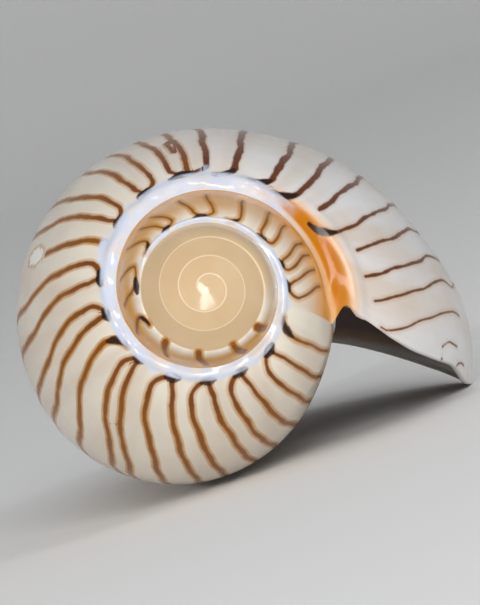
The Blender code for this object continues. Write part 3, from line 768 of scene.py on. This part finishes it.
    # Milky glaze over everything along the suture
    lobe = node(tree, "ShaderNodeMapRange", {0: past, 1: 0.2, 2: 1.2, 3: 0.0, 4: 0.5},
                interpolation_type="SMOOTHSTEP")
    band = node(tree, "ShaderNodeMath", {0: band, 1: lobe}, operation="SUBTRACT")
    under = node(tree, "ShaderNodeMapRange", {0: band, 1: 1.08, 2: 0.85}, interpolation_type="SMOOTHSTEP")
    under = node(tree, "ShaderNodeMath", {0: under, 1: milky}, operation="MULTIPLY")
    thick = node(tree, "ShaderNodeMapRange", {0: wavering, 1: 0.35, 2: 0.6, 3: 0.35, 4: 0.95})
    under = node(tree, "ShaderNodeMath", {0: under, 1: thick}, operation="MULTIPLY")
    colour = node(tree, "ShaderNodeMix", {"Factor": under, "A": colour, "B": srgb(MILK)}, data_type="RGBA")

    # Shine: even and wet, a little duller where it is streaked; fine growth lines stand out of it
    rough = node(tree, "ShaderNodeMapRange", {0: streaks, 1: 0.3, 2: 0.7, 3: 0.22, 4: 0.27})
    fine = node(tree, "ShaderNodeMath", {0: streaks, 1: 0.1, 2: clouds}, operation="MULTIPLY_ADD")
    bump = node(tree, "ShaderNodeBump", {"Height": fine, "Distance": 0.03 * MILLIMETRE, "Strength": 0.4})
    wet = node(tree, "ShaderNodeMath", {0: under, 1: 0.7, 2: 0.2}, operation="MULTIPLY_ADD")
    wet = node(tree, "ShaderNodeMath", {0: dome, 1: 0.6, 2: wet}, operation="MULTIPLY_ADD")
    shell = node(tree, "ShaderNodeBsdfPrincipled",
                 {"Base Color": colour, "Roughness": rough, "Normal": bump, "IOR": 1.53,
                  "Specular IOR Level": 0.16, "Subsurface Weight": 0.04,
                  "Subsurface Scale": 0.3 * MILLIMETRE, "Coat Weight": wet, "Coat Roughness": 0.08})
    node(tree, "ShaderNodeOutputMaterial", {"Surface": shell})
    return material


def shaded_brown_throat():
    """The inside of the aperture: thinner glaze, ivory at the edge and its own brown further in, darkened to
    near black deepest in as painted shade.
    """
    material = bpy.data.materials.new("throat_glaze_with_painted_shade")
    material.use_nodes = True
    tree = material.node_tree
    tree.nodes.clear()
    turn, below, side = node(tree, "ShaderNodeSeparateXYZ", {0: node(tree, "ShaderNodeAttribute",
                             attribute_name="growth").outputs["Vector"]}).outputs
    place = node(tree, "ShaderNodeTexCoord").outputs["Object"]
    clouds = node(tree, "ShaderNodeTexNoise",
                  {"Vector": place, "Scale": 1.0 / (3.0 * MILLIMETRE), "Detail": 3.0})
    wavy = node(tree, "ShaderNodeMath", {0: clouds, 1: 0.004, 2: turn}, operation="MULTIPLY_ADD")
    colour = srgb(LIP_IVORY)
    # Painted shade: the browns darken with the turns going back into the hollow.
    for start, end, tint in THROAT_BROWNS_AND_SHADE:
        share = node(tree, "ShaderNodeMapRange", {0: wavy, 1: start, 2: end}, interpolation_type="SMOOTHSTEP")
        colour = node(tree, "ShaderNodeMix", {"Factor": share, "A": colour, "B": srgb(tint)},
                      data_type="RGBA")
    rough = node(tree, "ShaderNodeMapRange", {0: clouds, 1: 0.3, 2: 0.7, 3: 0.3, 4: 0.45})
    bump = node(tree, "ShaderNodeBump", {"Height": clouds, "Distance": 0.1 * MILLIMETRE, "Strength": 0.4})
    shell = node(tree, "ShaderNodeBsdfPrincipled",
                 {"Base Color": colour, "Roughness": rough, "Normal": bump, "IOR": 1.53,
                  "Specular IOR Level": 0.12, "Coat Weight": 0.04, "Coat Roughness": 0.12})
    node(tree, "ShaderNodeOutputMaterial", {"Surface": shell})
    return material


# ------------------------------------------------------------------------------------------------------------
# Putting the shell together: the rows are wound round the pillar, which leans a little under the spire, then
# the colour is measured off, the relief raised, the hollow cut, and the shell turned on to its aperture.

SPIRE_LEAN_DEG = 10.5
SPIRE_LEAN_TOWARDS_DEG = 77.0
SPIRE_LEAN_DEPTH = 6.5
ROLL_DEG = -30.8
APEX_UP_DEG = 10.2
BAND_ROLL = 0.14
BAND_LUMP = 2.0           # width of a lump of its glaze
CANAL_DEPTH = 0.6
RIDGE_HEIGHT = 0.3
RIPPLE_HEIGHT = 0.01
RIPPLES_A_TURN = 45.0
SAME_POINT = 0.0002 * MILLIMETRE


def new_tree(name, inputs):
    """A Geometry Nodes tree with one output and named inputs, given as (name, kind)."""
    tree = bpy.data.node_groups.new(name, "GeometryNodeTree")
    tree.interface.new_socket("Geometry", in_out="OUTPUT", socket_type="NodeSocketGeometry")
    for label, kind in inputs:
        tree.interface.new_socket(label, in_out="INPUT", socket_type="NodeSocket" + kind)
    return tree, tree.nodes.new("NodeGroupInput").outputs, tree.nodes.new("NodeGroupOutput").inputs


ATTITUDE = ("Spire Lean", "Lean Depth", "Lean Towards", "Roll", "Lay Down")


def coiling_tree():
    """Winds points of (turn, radius, depth) in millimetres round the pillar, and lays the result down."""
    tree, given, result = new_tree("coil_round_pillar",
                                   [("Geometry", "Geometry")] + [(label, "Float") for label in ATTITUDE])
    whorl = node(tree, "GeometryNodeInputNamedAttribute", {"Name": "whorl"}, data_type="FLOAT_VECTOR")
    turn, radius, depth = node(tree, "ShaderNodeSeparateXYZ", {0: whorl}).outputs
    height = node(tree, "ShaderNodeMath", {0: depth, 1: -1.0}, operation="MULTIPLY")
    arm = node(tree, "ShaderNodeCombineXYZ", {"X": radius, "Z": height})
    angle = node(tree, "ShaderNodeMath", {0: turn, 1: -2.0 * math.pi}, operation="MULTIPLY")
    wound = node(tree, "ShaderNodeVectorRotate", {"Vector": arm, "Angle": angle}, rotation_type="Z_AXIS")
    share = node(tree, "ShaderNodeMath", {0: height, 1: given["Lean Depth"]}, operation="DIVIDE")
    faded = node(tree, "ShaderNodeMath", {0: share}, operation="EXPONENT")
    leaning = node(tree, "ShaderNodeMath", {0: 1.0, 1: faded}, operation="SUBTRACT")
    reach = node(tree, "ShaderNodeMath", {0: leaning, 1: given["Spire Lean"]}, operation="MULTIPLY")
    reach = node(tree, "ShaderNodeCombineXYZ", {"X": reach})
    reach = node(tree, "ShaderNodeVectorRotate", {"Vector": reach, "Angle": given["Lean Towards"]},
                 rotation_type="Z_AXIS")
    place = node(tree, "ShaderNodeVectorMath", {0: wound, 1: reach}, operation="ADD")
    place = node(tree, "ShaderNodeVectorMath", {0: place, "Scale": MILLIMETRE}, operation="SCALE")
    coiled = node(tree, "GeometryNodeSetPosition", {"Geometry": given["Geometry"], "Position": place})
    for axis, turned in (("Z", "Roll"), ("X", "Lay Down")):
        rotation = node(tree, "ShaderNodeCombineXYZ", {axis: given[turned]})
        coiled = node(tree, "GeometryNodeTransform", {"Geometry": coiled, "Rotation": rotation})
    tree.links.new(coiled.outputs[0], result[0])
    return tree


def marking_tree():
    """Stores how far each point of a skin is from the nearest mark, which way, and that mark's ink."""
    tree, given, result = new_tree("measure_marks", (("Geometry", "Geometry"), ("Marks", "Geometry"),
                                                     ("Offset Name", "String"), ("Ink Name", "String")))
    here = node(tree, "GeometryNodeInputPosition")
    nearest = node(tree, "GeometryNodeProximity", {0: given["Marks"]}, target_element="EDGES")
    away = node(tree, "ShaderNodeVectorMath", {0: nearest, 1: here}, operation="SUBTRACT")
    away = node(tree, "ShaderNodeVectorMath", {0: away, "Scale": 1.0 / MILLIMETRE}, operation="SCALE")
    distance = node(tree, "ShaderNodeMath", {0: nearest.outputs["Distance"], 1: 1.0 / MILLIMETRE},
                    operation="MULTIPLY")
    index = node(tree, "GeometryNodeSampleNearest", {"Geometry": given["Marks"]}, domain="POINT")
    ink = node(tree, "GeometryNodeInputNamedAttribute", {"Name": "ink"}, data_type="FLOAT_VECTOR")
    taken = node(tree, "GeometryNodeSampleIndex", {"Geometry": given["Marks"], "Value": ink, "Index": index},
                 data_type="FLOAT_VECTOR", domain="POINT")
    width, tone, _ = node(tree, "ShaderNodeSeparateXYZ", {0: taken}).outputs
    stored = node(tree, "ShaderNodeCombineXYZ", {"X": distance, "Y": width, "Z": tone})
    marked = given["Geometry"]
    for name, value in (("Offset Name", away), ("Ink Name", stored)):
        marked = node(tree, "GeometryNodeStoreNamedAttribute",
                      {"Geometry": marked, "Name": given[name], "Value": value},
                      data_type="FLOAT_VECTOR", domain="POINT")
    tree.links.new(marked.outputs[0], result[0])
    return tree


def on_corners(tree, shape, names):
    """Moves what the materials read on to face corners, where joining and cutting keep it."""
    for name in names:
        value = node(tree, "GeometryNodeInputNamedAttribute", {"Name": name}, data_type="FLOAT_VECTOR")
        shape = node(tree, "GeometryNodeStoreNamedAttribute",
                     {"Geometry": shape, "Name": name, "Value": value},
                     data_type="FLOAT_VECTOR", domain="CORNER")
    return shape


def raised(tree, given, shell):
    """The band's lumpy roll, the canal and its ridge, the callus and the ripples, out along the surface."""
    relief = node(tree, "GeometryNodeInputNamedAttribute", {"Name": "relief"}, data_type="FLOAT_VECTOR")
    sunk = node(tree, "ShaderNodeMath", {0: given["Canal Depth"], 1: -1.0}, operation="MULTIPLY")
    here = node(tree, "GeometryNodeInputPosition")
    lumps = node(tree, "ShaderNodeTexNoise",
                 {"Vector": here, "Scale": 1.0 / (BAND_LUMP * MILLIMETRE), "Detail": 1.0})
    lumps = node(tree, "ShaderNodeMapRange", {0: lumps, 1: 0.3, 2: 0.7, 3: 0.2, 4: 2.2})
    roll = node(tree, "ShaderNodeMath", {0: given["Band Roll"], 1: lumps}, operation="MULTIPLY")
    sizes = node(tree, "ShaderNodeCombineXYZ", {"X": roll, "Y": sunk, "Z": given["Ridge Height"]})
    height = node(tree, "ShaderNodeVectorMath", {0: relief, 1: sizes},
                  operation="DOT_PRODUCT").outputs["Value"]
    glazing = node(tree, "GeometryNodeInputNamedAttribute", {"Name": "glazing"}, data_type="FLOAT_VECTOR")
    callus = node(tree, "ShaderNodeSeparateXYZ", {0: glazing}).outputs["Z"]
    height = node(tree, "ShaderNodeMath", {0: callus, 1: given["Callus"], 2: height},
                  operation="MULTIPLY_ADD")
    rippled = node(tree, "GeometryNodeInputNamedAttribute", {"Name": "ripple"}, data_type="FLOAT_VECTOR")
    turn, below, fine = node(tree, "ShaderNodeSeparateXYZ", {0: rippled}).outputs
    along = node(tree, "ShaderNodeMath", {0: turn, 1: given["Ripples a Turn"]}, operation="MULTIPLY")
    down = node(tree, "ShaderNodeMath", {0: below, 1: 0.08}, operation="MULTIPLY")
    place = node(tree, "ShaderNodeCombineXYZ", {"X": along, "Y": down})
    ripple = node(tree, "ShaderNodeTexNoise", {"Vector": place, "Scale": 1.0, "Detail": 0.0})
    ripple = node(tree, "ShaderNodeMath", {0: ripple, 1: 0.5}, operation="SUBTRACT")
    ripple = node(tree, "ShaderNodeMath", {0: ripple, 1: fine}, operation="MULTIPLY")
    height = node(tree, "ShaderNodeMath", {0: ripple, 1: given["Ripple Height"], 2: height},
                  operation="MULTIPLY_ADD")
    height = node(tree, "ShaderNodeMath", {0: height, 1: MILLIMETRE}, operation="MULTIPLY")
    offset = node(tree, "ShaderNodeVectorMath", {0: node(tree, "GeometryNodeInputNormal"), "Scale": height},
                  operation="SCALE")
    return node(tree, "GeometryNodeSetPosition", {"Geometry": shell, "Offset": offset})


def shell_tree():
    sizes = ATTITUDE + ("Band Roll", "Canal Depth", "Ridge Height", "Callus", "Ripple Height",
                        "Ripples a Turn")
    tree, given, result = new_tree("volute_shell", [
        ("Geometry", "Geometry"), ("Tube", "Object"), ("Colour Lines", "Object"), ("Dark Blots", "Object"),
        *[(label, "Float") for label in sizes], ("Glaze", "Material"), ("Throat", "Material")])
    coil, measure = coiling_tree(), marking_tree()
    coiled = {"Skin": given["Geometry"]}
    for name in ("Tube", "Colour Lines", "Dark Blots"):
        coiled[name] = node(tree, "GeometryNodeObjectInfo", {"Object": given[name]}).outputs["Geometry"]
    for name, loose in coiled.items():
        attitude = {label: given[label] for label in ATTITUDE}
        coiled[name] = node(tree, "GeometryNodeGroup", node_tree=coil)
        for label, value in {"Geometry": loose, **attitude}.items():
            tree.links.new(value, coiled[name].inputs[label])
    shell = on_corners(tree, coiled["Skin"], ("growth", "glazing", "wash"))
    shell = node(tree, "GeometryNodeMergeByDistance", {"Geometry": shell, "Distance": SAME_POINT})
    for marks, short in (("Colour Lines", "line"), ("Dark Blots", "blot")):
        measured = node(tree, "GeometryNodeGroup", node_tree=measure)
        tree.links.new(shell.outputs[0], measured.inputs["Geometry"])
        tree.links.new(coiled[marks].outputs[0], measured.inputs["Marks"])
        measured.inputs["Offset Name"].default_value = short + "_offset"
        measured.inputs["Ink Name"].default_value = short + "_ink"
        shell = measured
    shell = raised(tree, given, shell)
    shell = on_corners(tree, shell, ("line_offset", "line_ink", "blot_offset", "blot_ink"))
    tube = on_corners(tree, coiled["Tube"], ("growth", "glazing", "wash"))
    tube = node(tree, "GeometryNodeMergeByDistance", {"Geometry": tube, "Distance": SAME_POINT})
    tube = node(tree, "GeometryNodeStoreNamedAttribute", {"Geometry": tube, "Name": "inside", "Value": 1.0},
                data_type="FLOAT", domain="CORNER")
    hollowed = node(tree, "GeometryNodeMeshBoolean",
                    {"Mesh 1": shell, "Mesh 2": tube, "Self Intersection": True},
                    operation="DIFFERENCE", solver="EXACT")
    smooth = node(tree, "GeometryNodeSetShadeSmooth", {"Geometry": hollowed})
    real = node(tree, "GeometryNodeRealizeInstances", {"Geometry": smooth})
    inside = node(tree, "GeometryNodeInputNamedAttribute", {"Name": "inside"}, data_type="FLOAT")
    is_inside = node(tree, "FunctionNodeCompare", {"A": inside, "B": 0.5}, data_type="FLOAT",
                     operation="GREATER_THAN")
    glazed = node(tree, "GeometryNodeSetMaterial", {"Geometry": real, "Material": given["Glaze"]})
    finished = node(tree, "GeometryNodeSetMaterial",
                    {"Geometry": glazed, "Selection": is_inside, "Material": given["Throat"]})
    tree.links.new(finished.outputs[0], result[0])
    return tree


tree = shell_tree()
modifier = skin.modifiers.new("volute_shell", "NODES")
modifier.node_group = tree
chosen = {
    "Tube": tube, "Colour Lines": colour_lines, "Dark Blots": dark_blots,
    "Spire Lean": math.tan(math.radians(SPIRE_LEAN_DEG)) * SPIRE_LEAN_DEPTH,
    "Lean Depth": SPIRE_LEAN_DEPTH, "Lean Towards": math.radians(SPIRE_LEAN_TOWARDS_DEG),
    "Roll": math.radians(ROLL_DEG), "Lay Down": math.radians(90.0 - APEX_UP_DEG),
    "Band Roll": BAND_ROLL, "Canal Depth": CANAL_DEPTH, "Ridge Height": RIDGE_HEIGHT, "Callus": CALLUS,
    "Ripple Height": RIPPLE_HEIGHT, "Ripples a Turn": RIPPLES_A_TURN,
    "Glaze": glazed_shell(), "Throat": shaded_brown_throat(),
}
for item in tree.interface.items_tree:
    if item.in_out == "INPUT" and item.name in chosen:
        modifier[item.identifier] = chosen[item.name]
evaluated = skin.evaluated_get(bpy.context.evaluated_depsgraph_get())
shell_mesh = bpy.data.meshes.new_from_object(evaluated)
skin.modifiers.remove(modifier)

# The shell stands where its solid does: on the floor, with the middle of its box over the origin
corners = np.array([corner.co for corner in shell_mesh.vertices])
low, high = corners.min(axis=0), corners.max(axis=0)
seat = Vector((-0.5 * (low[0] + high[0]), -0.5 * (low[1] + high[1]), -low[2]))
shell_mesh.transform(Matrix.Translation(seat))
shell = bpy.data.objects.new("volute_shell", shell_mesh)
bpy.context.scene.collection.objects.link(shell)
for helper in (skin, tube, colour_lines, dark_blots):
    bpy.data.objects.remove(helper)
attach(shell, "root")
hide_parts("shell")

# ------------------------------------------------------------------------------------------------------------
# The table it lies on: a pale paper sweep that turns up far behind it on every side, a large soft lamp near
# the camera, and two smaller ones that draw the streaks of light on the glaze.

SWEEP_FLAT = 1.3
SWEEP_BEND = 0.5
SWEEP_HEIGHT = 1.0
SWEEP_SIDES = 96
PAPER = "#F2F2F1"
ROOM_LIGHT = "#F4F5F7"

profile = [(0.0, 0.0), (0.6, 0.0), (SWEEP_FLAT, 0.0)]
profile += [(SWEEP_FLAT + SWEEP_BEND * math.sin(a), SWEEP_BEND * (1.0 - math.cos(a)))
            for a in np.linspace(0.1, 0.5 * math.pi, 16)]
profile.append((SWEEP_FLAT + SWEEP_BEND, SWEEP_HEIGHT))
points = [(r * math.cos(a), r * math.sin(a), z) for r, z in profile
          for a in np.linspace(0.0, 2.0 * math.pi, SWEEP_SIDES, endpoint=False)]
sides = []
for ring in range(len(profile) - 1):
    for side in range(SWEEP_SIDES):
        after = (side + 1) % SWEEP_SIDES
        start, above_start = ring * SWEEP_SIDES, (ring + 1) * SWEEP_SIDES
        sides.append((start + side, above_start + side, above_start + after, start + after))
sweep_mesh = bpy.data.meshes.new("paper_sweep")
sweep_mesh.from_pydata(points, [], sides)
sweep_mesh.validate()
sweep_mesh.shade_smooth()
paper = bpy.data.materials.new("matt_paper")
paper.use_nodes = True
paper.node_tree.nodes["Principled BSDF"].inputs["Base Color"].default_value = srgb(PAPER)
paper.node_tree.nodes["Principled BSDF"].inputs["Roughness"].default_value = 0.9
sweep_mesh.materials.append(paper)
sweep = bpy.data.objects.new("paper_sweep", sweep_mesh)
bpy.context.scene.collection.objects.link(sweep)

# The camera looks down on the spire from 420 mm, with the spire's axis leaning 10.5 degrees away from it
CAMERA_DISTANCE = 0.42
AXIS_TILT_DEG = 10.5
AXIS_TILT_TOWARDS_DEG = 113.0
SPIRE_TURNED_DEG = 10.0
FIELD_HEIGHT = 43.214 * MILLIMETRE      # what the frame takes in, from top to bottom
APEX_LEFT = 2.357 * MILLIMETRE          # of the frame's middle
APEX_ABOVE = 1.036 * MILLIMETRE

laid = Matrix.Rotation(math.radians(90.0 - APEX_UP_DEG), 3, "X")
laid = laid @ Matrix.Rotation(math.radians(ROLL_DEG), 3, "Z")
towards, tilt = math.radians(AXIS_TILT_TOWARDS_DEG), math.radians(AXIS_TILT_DEG)
facing = Vector((math.cos(towards) * math.sin(tilt), -math.sin(towards) * math.sin(tilt), math.cos(tilt)))
upward = (Vector((0.0, 1.0, 0.0)) - facing.y * facing).normalized()
turned = laid @ Matrix.Rotation(math.radians(SPIRE_TURNED_DEG), 3, "Z")
facing, upward = turned @ facing, turned @ upward
rightward = upward.cross(facing)
apex = seat.copy()
target = apex + APEX_LEFT * rightward - APEX_ABOVE * upward
camera_data = bpy.data.cameras.new("camera")
camera_data.sensor_width = 24.0
camera_data.lens = camera_data.sensor_width * CAMERA_DISTANCE / FIELD_HEIGHT
camera_data.clip_start = 0.01
camera = bpy.data.objects.new("camera", camera_data)
rotation = Matrix((rightward, upward, facing)).transposed()
camera.matrix_world = Matrix.Translation(target + CAMERA_DISTANCE * facing) @ rotation.to_4x4()
bpy.context.scene.collection.objects.link(camera)
bpy.context.scene.camera = camera

# Lamps, each at (right, up, out) of the apex as the camera sees it, in metres, with its size and power
LAMPS = (("large_soft_lamp", (0.05, 0.2, 0.9), (0.4, 0.55), 6.2, "#FFFFFF"),
         ("side_lamp", (-0.6, 0.05, 0.6), (0.1, 0.1), 1.3, "#FFFFFF"),
         ("upper_lamp", (0.35, 0.6, 0.55), (0.2, 0.2), 0.8, "#FFFFFF"))
for name, (right, up, out), size, power, tint in LAMPS:
    lamp_data = bpy.data.lights.new(name, "AREA")
    lamp_data.shape = "ELLIPSE"
    lamp_data.size, lamp_data.size_y = size
    lamp_data.energy = power
    lamp_data.color = srgb(tint)[:3]
    lamp = bpy.data.objects.new(name, lamp_data)
    place = apex + right * rightward + up * upward + out * facing
    lamp.location = place
    lamp.rotation_euler = (place - apex).to_track_quat("Z", "Y").to_euler()
    bpy.context.scene.collection.objects.link(lamp)

world = bpy.data.worlds.new("studio")
world.use_nodes = True
world.node_tree.nodes["Background"].inputs["Color"].default_value = srgb(ROOM_LIGHT)
world.node_tree.nodes["Background"].inputs["Strength"].default_value = 0.4
bpy.context.scene.world = world
bpy.context.scene.view_settings.view_transform = "Standard"
